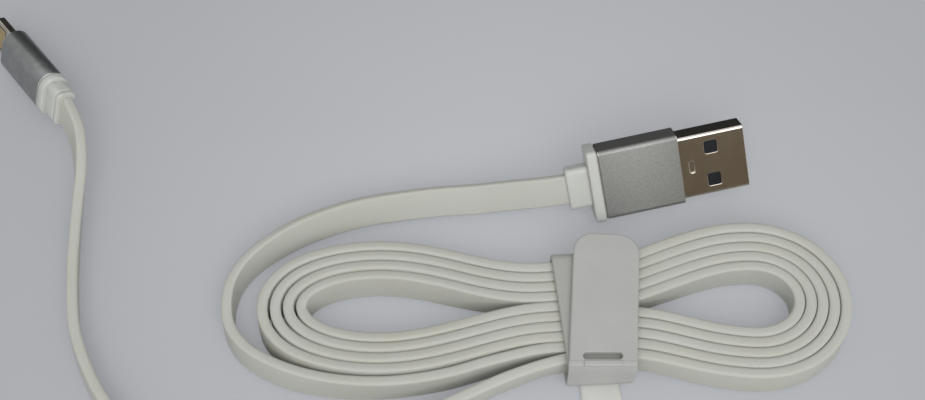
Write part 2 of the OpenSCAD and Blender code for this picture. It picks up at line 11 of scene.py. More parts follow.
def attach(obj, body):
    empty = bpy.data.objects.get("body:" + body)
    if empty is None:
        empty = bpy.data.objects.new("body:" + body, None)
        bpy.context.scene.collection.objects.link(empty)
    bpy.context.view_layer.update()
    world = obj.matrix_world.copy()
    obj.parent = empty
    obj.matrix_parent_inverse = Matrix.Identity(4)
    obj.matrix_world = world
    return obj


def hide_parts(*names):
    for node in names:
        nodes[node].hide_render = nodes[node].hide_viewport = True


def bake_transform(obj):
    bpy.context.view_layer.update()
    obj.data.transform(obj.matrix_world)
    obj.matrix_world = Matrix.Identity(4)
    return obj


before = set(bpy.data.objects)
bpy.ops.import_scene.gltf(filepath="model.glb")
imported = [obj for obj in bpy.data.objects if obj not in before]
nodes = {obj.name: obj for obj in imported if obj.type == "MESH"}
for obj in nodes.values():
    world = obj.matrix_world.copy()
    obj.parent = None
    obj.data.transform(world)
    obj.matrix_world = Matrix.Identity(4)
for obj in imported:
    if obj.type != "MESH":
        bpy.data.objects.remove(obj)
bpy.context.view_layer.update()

# Lengths are in millimetres, except where a line says metres, and angles in degrees.
# Names end in _W for a width, _L a length, _T a thickness, _D a depth and _R a radius.
MM = 0.001
MM_IN_CM = 10

# Cable: width, thickness, and how far across and up its long edges are rounded
CABLE_W = 5.6
CABLE_T = 1.9
CABLE_EDGE = (0.75, 0.42)
EDGE_STEPS = 7

# Hank: half loops that lie beside each other, PITCH apart from middle to middle, where its waist
# lies, and how far left of the waist its two ends are
HALF_LOOPS = 9
MIDDLE = (HALF_LOOPS - 1) // 2
PITCH = 1.93
WAIST_Y = -0.6
TAIL_RUN = 6
# A loop runs straight to its neck, opens to its flare by its spread, and ends in half an oval at
# its reach. It drifts sideways over a run, and its strands lie further apart at the tip.
Lobe = namedtuple("Lobe", "neck flare spread reach drift drift_run tip_step")
RIGHT_LOBE = Lobe(neck=0, flare=26.3, spread=6.4, reach=34.4,
                  drift=2.1, drift_run=23, tip_step=0.12)
LEFT_LOBE = Lobe(neck=10.7, flare=39.5, spread=6, reach=53.7,
                 drift=-1.5, drift_run=30, tip_step=0.38)
# The strand that keeps its place when they spread at the tip, counted from the innermost
FAN_MIDDLE = 1.8
# Marks along a loop, counted from 0 at the waist; the way back is counted on to 2 * AT_TIP
AT_NECK, AT_FLARE, AT_TIP = 1, 2, 3
NECK_STEPS = 6
FLARE_STEPS = 18
TIP_STEPS = 16
# The strands lean a little once they are clear of the strap
LEFT_LEAN = 13
RIGHT_LEAN = 5
LEAN_FROM = 8
LEAN_RUN = 18
# They sit a little unevenly: half the height, and the points in a radian of two slow waves
SETTLE_H = 0.07
SETTLE_WAVES = (23, 61)

# Strap
STRAP_W = 11.6
STRAP_T = 1.0
STRAP_X = -2.5
STRAP_TURN = 3
STRAP_SLANT = math.tan(math.radians(3))
STRAP_FOLD = 2
NEAR_FACE = -13.0
FAR_FACE = 10.1
HINGE_X = -1.223
HINGE_Y = -12.15
TAIL_W = 7
TAIL_L = 14
TAIL_R = 2.5
TAIL_GAP = 0.3
TAIL_TURN = 3
TAB_L = 24.8
TAB_SKEW = 4.3
TAB_R = 3.6
SLOT_W = 6.7
SLOT_L = 1.2
SLOT_AT = 1.4

# The hank rides over the strap: how high, how far out from the strap's middle, and the run over
# which it comes down to the table
LIFT_H = STRAP_T + 0.1
LIFT_FLAT = STRAP_W / 2 + 1.3
LIFT_FALL = 16

# Where each plug lets the cable out, its roll, pitch and yaw, and how far the cable shows straight
# inside the neck
HOST_EXIT = (-5.94, 23.12, 6.72)
HOST_TURN = (51, -5.6, 10.6)
DEVICE_EXIT = (-99.45, 40.05, 7.15)
DEVICE_TURN = (-63, 8, 129)
IN_NECK = 3.2

# Free stretches from the hank to each plug: x, y, lean, rise
DEVICE_ROUTE = [
    (-9.5, -10.4, 7, 0), (-13.1, -11.5, 6, 0), (-18.1, -13.3, 4, 0), (-23.2, -15.6, 2, 0),
    (-28.3, -18, 0, 0), (-36, -21.8, 0, 0), (-46, -26.3, -2, 0), (-57, -29.4, -4, 0),
    (-68, -29.6, -6, 0), (-78, -25.6, -8, 0), (-85.6, -17.4, -9, 0), (-90, -10.2, -9, 0),
    (-92.9, -2.7, -9, 0), (-94.5, 7, -10, 0), (-95.1, 15, -12, 0.4), (-95.3, 22, -14, 1.1),
    (-95.4, 27, -17, 2), (-95.9, 31.2, -20, 2.8), (-96.9, 35.2, -23, 3.5)]
HOST_ROUTE = [
    (-12, -8.4, -1, 0), (-20, -10.2, -3, 0), (-28, -12.5, -4, 0), (-37, -13.9, -5, 0),
    (-46, -13.8, -9, 0), (-54, -12.2, -13, 0), (-60.5, -9.2, -12, 0), (-64.2, -5.8, -8, 0),
    (-66, -1.6, -2, 0), (-65.7, 4.6, 6, 0), (-62.6, 9.9, 15, 0), (-57, 14.5, 25, 0),
    (-51, 17.7, 31, 0), (-44, 20.2, 35, 0), (-37, 21.6, 39, 0), (-30, 22.5, 42, 0.2),
    (-23, 22.7, 43, 0.8), (-16, 22.7, 42, 1.6), (-10, 22.7, 40, 2.4)]
ROUTE_STEPS = 6
# Before its first row a stretch comes from under the strap: x, and y beside the hank's end
LEAD_IN = (-3.5, 0.1)


def turned(place, turn):
    """Matrix of a frame at place, turned by roll, pitch and yaw."""
    return Matrix.Translation(place) @ Euler([math.radians(a) for a in turn]).to_matrix().to_4x4()


HOST = turned(HOST_EXIT, HOST_TURN)
DEVICE = turned(DEVICE_EXIT, DEVICE_TURN)
STRAP = Matrix.Translation((STRAP_X, 0, 0)) @ Matrix.Rotation(math.radians(STRAP_TURN), 4, "Z")


def clamp(value):
    """The value held between 0 and 1."""
    return min(max(value, 0), 1)


# ---------- camera ----------
# Its place in metres, and its tilt from straight down
CAMERA_AT = (-0.0249, -0.10347, 0.22629)
CAMERA_TILT = 29.5

camera = bpy.data.objects.new("camera", bpy.data.cameras.new("camera"))
bpy.context.scene.collection.objects.link(camera)
camera.location = CAMERA_AT
camera.rotation_euler = (math.radians(CAMERA_TILT), 0, 0)
camera.data.sensor_width = 36
camera.data.lens = 54.2
camera.data.clip_start = 0.01
bpy.context.scene.camera = camera


# ---------- shader groups ----------
# Colour sockets of a Mix node: the two that go in, and the one that comes out
MIX_A, MIX_B, MIX_OUT = 6, 7, 2


def link_nodes(tree, links):
    for out, into in links:
        tree.links.new(out, into)


def set_inputs(node, values):
    for label, value in values.items():
        node.inputs[label].default_value = value


def colour_mix(tree, blend="MIX"):
    mix = tree.nodes.new("ShaderNodeMix")
    mix.data_type = "RGBA"
    mix.blend_type = blend
    return mix


def combine(tree, operation, first, second, hold=False):
    """Output of a Math node on two sockets, held between 0 and 1 if hold is set."""
    node = tree.nodes.new("ShaderNodeMath")
    node.operation = operation
    node.use_clamp = hold
    link_nodes(tree, [(first, node.inputs[0]), (second, node.inputs[1])])
    return node.outputs[0]


def new_group(name, inputs, outputs):
    """A shader node group with named sockets; inputs give (name, kind, default)."""
    group = bpy.data.node_groups.new(name, "ShaderNodeTree")
    for label, kind, default in inputs:
        socket = group.interface.new_socket(label, in_out="INPUT", socket_type="NodeSocket" + kind)
        if default is not None:
            socket.default_value = default
    for label, kind in outputs:
        group.interface.new_socket(label, in_out="OUTPUT", socket_type="NodeSocket" + kind)
    return group, group.nodes.new("NodeGroupInput"), group.nodes.new("NodeGroupOutput")


def mottle_group():
    """Two colours that drift into each other in soft patches."""
    group, given, result = new_group(
        "mottle", [("Vector", "Vector", None), ("Scale", "Float", 200.0),
                   ("Main", "Color", (0.5, 0.5, 0.5, 1)), ("Patch", "Color", (0.4, 0.4, 0.4, 1))],
        [("Color", "Color")])
    noise = group.nodes.new("ShaderNodeTexNoise")
    set_inputs(noise, {"Detail": 3})
    spread = group.nodes.new("ShaderNodeMapRange")
    set_inputs(spread, {"From Min": 0.35, "From Max": 0.68})
    mix = colour_mix(group)
    link_nodes(group, [
        (given.outputs["Vector"], noise.inputs["Vector"]),
        (given.outputs["Scale"], noise.inputs["Scale"]),
        (noise.outputs["Fac"], spread.inputs["Value"]),
        (spread.outputs["Result"], mix.inputs["Factor"]),
        (given.outputs["Main"], mix.inputs[MIX_A]), (given.outputs["Patch"], mix.inputs[MIX_B]),
        (mix.outputs[MIX_OUT], result.inputs["Color"])])
    return group


def specks_group():
    """Sparse dust specks: a mask that is 1 on a speck. Share is the share of cells with a speck."""
    group, given, result = new_group(
        "specks", [("Vector", "Vector", None), ("Scale", "Float", 300.0),
                   ("Size", "Float", 0.12), ("Share", "Float", 0.1)], [("Mask", "Float")])
    cells = group.nodes.new("ShaderNodeTexVoronoi")
    draw = group.nodes.new("ShaderNodeSeparateColor")
    link_nodes(group, [
        (given.outputs["Vector"], cells.inputs["Vector"]),
        (given.outputs["Scale"], cells.inputs["Scale"]),
        (cells.outputs["Color"], draw.inputs["Color"])])
    near = combine(group, "LESS_THAN", cells.outputs["Distance"], given.outputs["Size"])
    chosen = combine(group, "LESS_THAN", draw.outputs["Red"], given.outputs["Share"])
    link_nodes(group, [(combine(group, "MULTIPLY", near, chosen), result.inputs["Mask"])])
    return group


def grain_group():
    """Fine grain: a height between 0 and 1, and a roughness that follows it."""
    group, given, result = new_group(
        "grain", [("Vector", "Vector", None), ("Scale", "Float", 4000.0),
                  ("Smooth", "Float", 0.4), ("Rough", "Float", 0.6)],
        [("Height", "Float"), ("Roughness", "Float")])
    noise = group.nodes.new("ShaderNodeTexNoise")
    set_inputs(noise, {"Detail": 4, "Roughness": 0.6})
    spread = group.nodes.new("ShaderNodeMapRange")
    set_inputs(spread, {"From Min": 0.3, "From Max": 0.7})
    link_nodes(group, [
        (given.outputs["Vector"], noise.inputs["Vector"]),
        (given.outputs["Scale"], noise.inputs["Scale"]),
        (noise.outputs["Fac"], spread.inputs["Value"]),
        (given.outputs["Smooth"], spread.inputs["To Min"]),
        (given.outputs["Rough"], spread.inputs["To Max"]),
        (noise.outputs["Fac"], result.inputs["Height"]),
        (spread.outputs["Result"], result.inputs["Roughness"])])
    return group


GROUPS = {"mottle": mottle_group(), "specks": specks_group(), "grain": grain_group()}


def use_group(tree, name, vector, **values):
    node = tree.nodes.new("ShaderNodeGroup")
    node.node_tree = GROUPS[name]
    set_inputs(node, values)
    tree.links.new(vector, node.inputs["Vector"])
    return node


# ---------- finishes ----------
DUST_COLOUR = (0.12, 0.11, 0.09, 1)
GRAINS_PER_SPECK = 12
# Light goes this far under a soft surface, in metres, and red goes furthest
SOFT_DEPTH = 0.001
SOFT_REACH = (1, 0.9, 0.75)


def dusted(tree, colour, place, grain, share):
    """The colour with dust specks on a share of it."""
    specks = use_group(tree, "specks", place, Scale=grain / GRAINS_PER_SPECK, Share=share)
    mix = colour_mix(tree)
    mix.inputs[MIX_B].default_value = DUST_COLOUR
    link_nodes(tree, [(specks.outputs["Mask"], mix.inputs["Factor"]), (colour, mix.inputs[MIX_A])])
    return mix.outputs[MIX_OUT]


def lined(tree, height, place, lines):
    """The height with fine lines along a swept piece added."""
    wave = tree.nodes.new("ShaderNodeTexWave")
    wave.bands_direction = "Y"
    set_inputs(wave, {"Scale": lines, "Distortion": 0.6, "Detail": 1})
    link_nodes(tree, [(place, wave.inputs["Vector"])])
    return combine(tree, "ADD", wave.outputs["Fac"], height)


def finish(name, main, patch, rough, grain, relief, patches, metallic=0.0, coords="Object",
           dust=0.0, sheen=0.0, coat=0.0, specular=0.5, lines=None, soft=0.0):
    """A material: a main colour with patches of another, a lowest and highest roughness, grain
    that stands out by relief in millimetres, dust, and fine lines along a swept piece."""
    material = bpy.data.materials.new(name)
    material.use_nodes = True
    tree = material.node_tree
    shader = tree.nodes["Principled BSDF"]
    place = tree.nodes.new("ShaderNodeTexCoord").outputs[coords]
    mottle = use_group(tree, "mottle", place, Scale=patches, Main=(*main, 1), Patch=(*patch, 1))
    fine = use_group(tree, "grain", place, Scale=grain, Smooth=rough[0], Rough=rough[1])
    colour = mottle.outputs["Color"]
    if dust:
        colour = dusted(tree, colour, place, grain, dust)
    height = fine.outputs["Height"]
    if lines:
        height = lined(tree, height, place, lines)
    bump = tree.nodes.new("ShaderNodeBump")
    set_inputs(bump, {"Strength": 0.6, "Distance": relief * MM})
    set_inputs(shader, {
        "Metallic": metallic, "Specular IOR Level": specular, "Sheen Weight": sheen,
        "Coat Weight": coat, "Coat Roughness": 0.3, "Subsurface Weight": soft,
        "Subsurface Scale": SOFT_DEPTH, "Subsurface Radius": SOFT_REACH})
    link_nodes(tree, [
        (colour, shader.inputs["Base Color"]),
        (fine.outputs["Roughness"], shader.inputs["Roughness"]),
        (height, bump.inputs["Height"]), (bump.outputs["Normal"], shader.inputs["Normal"])])
    return material


JACKET = finish("cream_jacket", (0.495, 0.5, 0.465), (0.48, 0.48, 0.42), (0.5, 0.64),
                grain=14, relief=0.012, patches=0.35, coords="UV", dust=0.012, lines=6.5, soft=0.3)
SILICONE = finish("strap_silicone", (0.425, 0.425, 0.41), (0.4, 0.405, 0.385), (0.5, 0.62),
                  grain=5200, relief=0.012, patches=110, dust=0.02, sheen=0.15, soft=0.05)
# A darker copy of the strap's silicone for the band: painted shade, as the band lies in the shadow
# of the tab above it
SHADED_BAND_SILICONE = finish("strap_band", (0.375, 0.38, 0.352), (0.352, 0.357, 0.328), (0.5, 0.62),
              grain=5200, relief=0.012, patches=110, dust=0.02, sheen=0.15, soft=0.05)
# A lighter copy of the strap's silicone for the tail: painted light, so the tail out in front reads
# brighter than the band and tab
LIT_TAIL_SILICONE = finish("strap_tail", (0.63, 0.63, 0.605), (0.6, 0.605, 0.57), (0.5, 0.62),
              grain=5200, relief=0.012, patches=150, sheen=0.15, soft=0.05)
MOULDED = finish("moulded_white", (0.54, 0.55, 0.52), (0.51, 0.52, 0.485), (0.35, 0.48),
                 grain=4200, relief=0.008, patches=260, soft=0.05)
BLASTED = finish("blasted_aluminium", (0.35, 0.355, 0.342), (0.302, 0.308, 0.296), (0.48, 0.6),
                 grain=9000, relief=0.02, patches=2600, metallic=1.0)
POLISHED = finish("cut_edge", (0.86, 0.86, 0.84), (0.8, 0.8, 0.78), (0.12, 0.2),
                  grain=9000, relief=0.002, patches=900, metallic=1.0)
GREY_METAL = finish("grey_sleeve", (0.35, 0.357, 0.362), (0.3, 0.307, 0.31), (0.36, 0.5),
                    grain=8000, relief=0.02, patches=700, metallic=1.0)
PLATED = finish("plated_shell", (0.635, 0.592, 0.525), (0.575, 0.53, 0.46), (0.1, 0.2),
                grain=5000, relief=0.002, patches=260, metallic=1.0)
TAB_METAL = finish("plated_tab", (0.62, 0.58, 0.5), (0.54, 0.5, 0.42), (0.16, 0.28),
                   grain=5000, relief=0.002, patches=400, metallic=1.0)
GOLD = finish("gold_contact", (0.9, 0.7, 0.34), (0.82, 0.6, 0.25), (0.15, 0.28),
              grain=6000, relief=0.002, patches=900, metallic=1.0)
BLACK_NYLON = finish("black_insulator", (0.013, 0.014, 0.018), (0.01, 0.011, 0.014),
                     (0.36, 0.48), grain=4000, relief=0.006, patches=300, specular=0.2)
DARK_BLOCK = finish("dark_block", (0.07, 0.065, 0.06), (0.05, 0.045, 0.04), (0.3, 0.45),
                    grain=5000, relief=0.006, patches=400)
HOT_MELT = finish("hot_melt", (0.72, 0.72, 0.68), (0.66, 0.65, 0.6), (0.25, 0.4),
                  grain=2500, relief=0.02, patches=300, soft=0.2)
PRESSED_STEEL = finish("pressed_steel", (0.56, 0.56, 0.55), (0.48, 0.48, 0.46), (0.25, 0.42),
                       grain=4500, relief=0.004, patches=500, metallic=1.0)
SOLDER_MASK = finish("solder_mask", (0.02, 0.14, 0.06), (0.015, 0.11, 0.05), (0.25, 0.38),
                     grain=3000, relief=0.008, patches=700, coat=0.3)
CHIP_EPOXY = finish("chip_epoxy", (0.02, 0.02, 0.022), (0.03, 0.03, 0.03), (0.45, 0.6),
                    grain=6000, relief=0.008, patches=600)
RED_WIRE = finish("wire_red", (0.5, 0.04, 0.03), (0.42, 0.03, 0.025), (0.3, 0.42),
                  grain=3500, relief=0.006, patches=500)


# ---------- cable ----------
def lobe_point(lobe, t, k):
    """Point of strand k at mark t of a lobe that opens towards +x."""
    m = t if t <= AT_TIP else 2 * AT_TIP - t
    half = PITCH / 2
    flare_run, tip_run = lobe.flare - lobe.neck, lobe.reach - lobe.flare
    opening = lobe.spread - half
    if m < AT_NECK:
        x, y, dx, dy = m * lobe.neck, half, 1, 0
    elif m < AT_FLARE:
        a = math.pi * (m - AT_NECK)
        x, y = lobe.neck + (m - AT_NECK) * flare_run, half + opening * (1 - math.cos(a)) / 2
        dx, dy = flare_run, opening * math.pi / 2 * math.sin(a)
    else:
        a = math.pi / 2 * (m - AT_FLARE)
        x, y = lobe.flare + tip_run * math.sin(a), lobe.spread * math.cos(a)
        dx, dy = tip_run * math.cos(a), -lobe.spread * math.sin(a)
    n = math.hypot(dx, dy)
    x, y = x - dy / n * k * PITCH, y + dx / n * k * PITCH
    at_tip = clamp((x - lobe.flare) / tip_run) ** 2
    return x + lobe.tip_step * (k - FAN_MIDDLE) * at_tip, y if t <= AT_TIP else -y


def drift(lobe, x):
    """How far a lobe has drifted sideways at x."""
    return lobe.drift * math.sin(math.pi / 2 * clamp(x / lobe.drift_run))


def half_loop(i):
    """Half loop i as plan points, in order from the device plug's end of the hank."""
    right = i % 2 == 0
    lobe = RIGHT_LOBE if right else LEFT_LOBE
    k = MIDDLE - i if i <= MIDDLE else i - MIDDLE - 1
    far_first = (i <= MIDDLE) == (i % 2 == 1)
    to_neck = [] if right else [j / NECK_STEPS for j in range(NECK_STEPS)]
    way_out = (to_neck + [AT_NECK + j / FLARE_STEPS for j in range(FLARE_STEPS)]
               + [AT_FLARE + j / TIP_STEPS for j in range(TIP_STEPS + 1)])
    marks = way_out + [2 * AT_TIP - t for t in way_out[-2::-1]]
    points = []
    for t in marks if far_first else marks[::-1]:
        x, y = lobe_point(lobe, t, k)
        points.append((x if right else -x,
                       y + (0 if right else PITCH) + drift(lobe, x) + WAIST_Y))
    return points


def lift(x):
    """How high the strap's underside holds the cable off the table."""
    return LIFT_H * (1 + math.cos(math.pi * clamp((abs(x - STRAP_X) - LIFT_FLAT) / LIFT_FALL))) / 2


def resting(x, y, lean, rise):
    """Point of the middle line of a leaning cable, and its lean."""
    a = math.radians(lean)
    return x, y, (CABLE_W * math.cos(a) + CABLE_T * abs(math.sin(a))) / 2 + lift(x) + rise, lean


def hank_end(strands):
    """Where a free stretch leaves the hank, a number of strands from its middle."""
    return -TAIL_RUN, drift(LEFT_LOBE, TAIL_RUN) - strands * PITCH + WAIST_Y


def smooth_route(rows, steps):
    """The rows joined by a Catmull-Rom curve through all of them."""
    rows = [Vector(r) for r in rows]
    rows = [2 * rows[0] - rows[1], *rows, 2 * rows[-1] - rows[-2]]
    out = []
    for a, b, c, d in zip(rows, rows[1:], rows[2:], rows[3:]):
        for j in range(steps):
            t = j / steps
            out.append(0.5 * (2 * b + (c - a) * t + (2 * a - 5 * b + 4 * c - d) * t * t
                              + (3 * b - a - 3 * c + d) * t ** 3))
    return [tuple(r) for r in out] + [tuple(rows[-2])]


def plug_run(matrix, turn):
    """The cable inside a plug's neck and just outside it, and its lean there."""
    lean = 90 - turn[0] if turn[0] > 0 else -90 - turn[0]
    return [(*(matrix @ Vector((x, 0, 0))), lean) for x in (0, IN_NECK)]


def stretch(end, route, matrix, turn):
    """A free stretch from the hank to inside the plug's neck."""
    lead_in = (LEAD_IN[0], end[1] + LEAD_IN[1], CABLE_W / 2 + LIFT_H, 0)
    rows = [lead_in, resting(*end, 0, 0), *(resting(*row) for row in route)]
    return smooth_route(rows + plug_run(matrix, turn), ROUTE_STEPS)[ROUTE_STEPS:]


def hank_lean(x):
    """How far the strands' tops lean away to the far side: none under the strap."""
    free = clamp((abs(x - STRAP_X) - LEAN_FROM) / LEAN_RUN)
    return (LEFT_LEAN if x < STRAP_X else RIGHT_LEAN) * free * free * (3 - 2 * free)


def settle(n):
    """How high point n of the hank stands off its rest."""
    short, long = SETTLE_WAVES
    return SETTLE_H * (1 + math.sin(n / short) * math.sin(n / long + 1))


def cable_rows():
    """Middle line of the whole cable with its lean, from the host plug to the device plug."""
    plan = [p for i in range(HALF_LOOPS) for p in half_loop(i)[0 if i == 0 else 1:]]
    hank = []
    for n, (x, y) in enumerate(plan):
        ahead = Vector(plan[min(n + 1, len(plan) - 1)]) - Vector(plan[max(n - 1, 0)])
        lean = hank_lean(x) * ahead.normalized().x
        hank.append((x, y, resting(x, y, lean, settle(n))[2], lean))
    device = stretch(hank_end(MIDDLE + 0.5), DEVICE_ROUTE, DEVICE, DEVICE_TURN)
    host = stretch(hank_end(MIDDLE - 0.5), HOST_ROUTE, HOST, HOST_TURN)
    return [(x, y, z, -lean) for x, y, z, lean in reversed(hank + host)] + device


def cross_section(w, t, edge, steps):
    """Rectangle with oval corners as (across, up) points, anticlockwise."""
    rx, ry = edge
    points = []
    for quarter, (sx, sy) in enumerate(((1, 1), (-1, 1), (-1, -1), (1, -1))):
        for j in range(steps + 1):
            a = math.pi / 2 * (quarter + j / steps)
            points.append((sx * (t / 2 - rx) + rx * math.cos(a),
                           sy * (w / 2 - ry) + ry * math.sin(a)))
    return points


def sweep_cable(rows):
    """The cable's jacket as one closed tube with a UV map along it, in centimetres."""
    section = cross_section(CABLE_W, CABLE_T, CABLE_EDGE, EDGE_STEPS)
    n = len(section)
    around = [0]
    for a, b in zip(section, section[1:] + section[:1]):
        around.append(around[-1] + math.hypot(a[0] - b[0], a[1] - b[1]))
    bm = bmesh.new()
    uv = bm.loops.layers.uv.new("along")
    rings, runs, run = [], [], 0.0
    for i, row in enumerate(rows):
        here, before = Vector(row[:3]), Vector(rows[max(i - 1, 0)][:3])
        ahead = Vector(rows[min(i + 1, len(rows) - 1)][:3]) - before
        side = Vector((0, 0, 1)).cross(ahead).normalized()
        top = ahead.normalized().cross(side)
        a = math.radians(row[3])
        across, up = side * math.cos(a) - top * math.sin(a), top * math.cos(a) + side * math.sin(a)
        rings.append([bm.verts.new((here + across * p + up * q) * MM) for p, q in section])
        run += (here - before).length
        runs.append(run)
    for i in range(len(rings) - 1):
        for j in range(n):
            k = (j + 1) % n
            face = bm.faces.new((rings[i][j], rings[i][k], rings[i + 1][k], rings[i + 1][j]))
            corners = ((i, j), (i, j + 1), (i + 1, j + 1), (i + 1, j))
            for loop, (u, v) in zip(face.loops, corners):
                loop[uv].uv = (runs[u] / MM_IN_CM, around[v] / MM_IN_CM)
    bm.faces.new(rings[0])
    bm.faces.new(rings[-1][::-1])
    bmesh.ops.recalc_face_normals(bm, faces=bm.faces[:])
    return bm


# Edges sharper than this stay sharp under smooth shading
SHARP = 35


def piece(name, bm, body, materials, replaced=()):
    """Makes the object from a mesh in metres, with its body and materials, and hides the solids
    that it replaces.
    """
    mesh = bpy.data.meshes.new(name)
    bm.to_mesh(mesh)
    bm.free()
    for material in materials:
        mesh.materials.append(material)
    mesh.shade_smooth()
    mesh.set_sharp_from_angle(angle=math.radians(SHARP))
    obj = bpy.data.objects.new(name, mesh)
    bpy.context.scene.collection.objects.link(obj)
    if body:
        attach(obj, body)
    if replaced:
        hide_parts(*replaced)
    return obj


cable_line = cable_rows()
cable = piece("cable_jacket", sweep_cable(cable_line), "root", [JACKET],
              ("cable_hank", "cable_host_stretch", "cable_device_stretch"))


# ---------- shaping ----------
# Places closer together than this count as level, and points closer than this are merged
CLOSE = 0.01
MERGE = 0.001
# Cosines past which an edge runs along an axis, a face closes an end, and a face isn't a side
ALONG = 0.999
END_FACE = 0.9
NO_SIDE = 0.5
# Two faces meet at a real corner past this angle, in radians
CORNER = 1


def local_box(name, matrix):
    """Lowest and highest corner of a CAD node in a plug's or the strap's own frame."""
    back = matrix.inverted()
    points = [back @ (v.co / MM) for v in nodes[name].data.vertices]
    return (Vector([min(p[i] for p in points) for i in range(3)]),
            Vector([max(p[i] for p in points) for i in range(3)]))


def at_x(x, corner):
    """The corner moved along x to a place."""
    return Vector((x, corner[1], corner[2]))


def block(lo, hi):
    """A box between two corners."""
    bm = bmesh.new()
    bmesh.ops.create_cube(bm, size=1)
    size = Vector(hi) - Vector(lo)
    bmesh.ops.scale(bm, vec=size, verts=bm.verts)
    bmesh.ops.translate(bm, vec=Vector(lo) + size / 2, verts=bm.verts)
    return bm


def edges_along(bm, axis):
    """Edges that run along an axis."""
    found = []
    for edge in bm.edges:
        d = (edge.verts[1].co - edge.verts[0].co).normalized()
        if abs(d[axis]) > ALONG:
            found.append(edge)
    return found


def level_corners(bm):
    """Level edges where two faces meet at a real corner."""
    return [e for e in bm.edges if abs(e.verts[0].co.z - e.verts[1].co.z) < CLOSE
            and e.calc_face_angle(0) > CORNER]


def rim_edges(bm, *ends):
    """Edges round a bar's or tube's ends, which lie across x at these places."""
    found = []
    for x in ends:
        for edge in bm.edges:
            if all(abs(v.co.x - x) < CLOSE for v in edge.verts):
                if any(abs(f.normal.x) < NO_SIDE for f in edge.link_faces):
                    found.append(edge)
    return found


def round_edges(bm, edges, radius, segments, material=-1):
    return bmesh.ops.bevel(bm, geom=edges, offset=radius, offset_type="OFFSET", segments=segments,
                           profile=0.5, affect="EDGES", clamp_overlap=True, material=material)


def bar(lo, hi, radius, segments=6, ends=0.0, end_segments=3):
    """A bar along x with its long edges rounded by a radius, and its ends by another."""
    bm = block(lo, hi)
    round_edges(bm, edges_along(bm, 0), radius, segments)
    bm.normal_update()
    if ends:
        round_edges(bm, rim_edges(bm, lo[0], hi[0]), ends, end_segments)
    return bm


def hollow(bm, wall):
    """Opens a bar's two ends and gives it a wall inwards."""
    bm.normal_update()
    ends = [f for f in bm.faces if abs(f.normal.x) > END_FACE]
    bmesh.ops.delete(bm, geom=ends, context="FACES_ONLY")
    bmesh.ops.recalc_face_normals(bm, faces=bm.faces[:])
    bmesh.ops.solidify(bm, geom=bm.faces[:], thickness=wall)
    bmesh.ops.recalc_face_normals(bm, faces=bm.faces[:])
    bm.normal_update()
    return bm


def settle_into(bm, matrix):
    """Moves a mesh from its own frame in millimetres to the shared frame in metres."""
    bmesh.ops.transform(bm, matrix=Matrix.Scale(MM, 4) @ matrix, verts=bm.verts)
    return bm


def loose_object(bm):
    mesh = bpy.data.meshes.new("loose")
    bm.to_mesh(mesh)
    bm.free()
    obj = bpy.data.objects.new("loose", mesh)
    bpy.context.scene.collection.objects.link(obj)
    return obj


def cut(bm, *cutters):
    """The mesh less the cutters; all in one frame."""
    obj = loose_object(bm)
    for cutter in cutters:
        tool = loose_object(cutter)
        modifier = obj.modifiers.new("cut", "BOOLEAN")
        modifier.operation = "DIFFERENCE"
        modifier.solver = "EXACT"
        modifier.object = tool
        graph = bpy.context.evaluated_depsgraph_get()
        mesh = bpy.data.meshes.new_from_object(obj.evaluated_get(graph))
        obj.modifiers.clear()
        obj.data = mesh
        bpy.data.objects.remove(tool)
    result = bmesh.new()
    result.from_mesh(obj.data)
    bpy.data.objects.remove(obj)
    bmesh.ops.remove_doubles(result, verts=result.verts[:], dist=MERGE)
    return result


def join(*parts):
    """One mesh from several."""
    whole = bmesh.new()
    for bm in parts:
        mesh = bpy.data.meshes.new("part")
        bm.to_mesh(mesh)
        bm.free()
        whole.from_mesh(mesh)
        bpy.data.meshes.remove(mesh)
    return whole


def soften(obj, width):
    """Rounds a piece's remaining hard edges by a width in millimetres."""
    modifier = obj.modifiers.new("soften", "BEVEL")
    modifier.width = width * MM
    modifier.segments = 3
    modifier.limit_method = "ANGLE"
    modifier.angle_limit = math.radians(50)
    flat = obj.modifiers.new("flat", "WEIGHTED_NORMAL")
    flat.keep_sharp = True


# ---------- strap band and tail ----------
BAND_EDGE = 0.36
TAIL_EDGE = 0.5
# Inside the band's near wall, the tail's hidden end and the slot that is cut for it go on this far
TAIL_INSIDE = 0.6
TAIL_SLOT_PAST = 0.1
# How far a cutter reaches past the open side of what it cuts
CUT_PAST = 1

SLANTED = STRAP @ Matrix.Shear("XZ", 4, (-STRAP_SLANT, 0))
band_top = local_box("strap_band", STRAP)[1].z

ring = block((-STRAP_W / 2, NEAR_FACE, 0), (STRAP_W / 2, FAR_FACE, band_top))
round_edges(ring, edges_along(ring, 0), STRAP_FOLD, segments=8)
hollow(ring, STRAP_T)
round_edges(ring, rim_edges(ring, STRAP_W / 2, -STRAP_W / 2), BAND_EDGE, segments=4)
slot = block((-TAIL_W / 2 - TAIL_GAP, NEAR_FACE - CUT_PAST, -CUT_PAST),
             (TAIL_W / 2 + TAIL_GAP, NEAR_FACE + STRAP_T + TAIL_SLOT_PAST, STRAP_T + TAIL_GAP))
piece("strap_band_round_waist", settle_into(cut(ring, slot), SLANTED), "root",
      [SHADED_BAND_SILICONE], ("strap_band",))

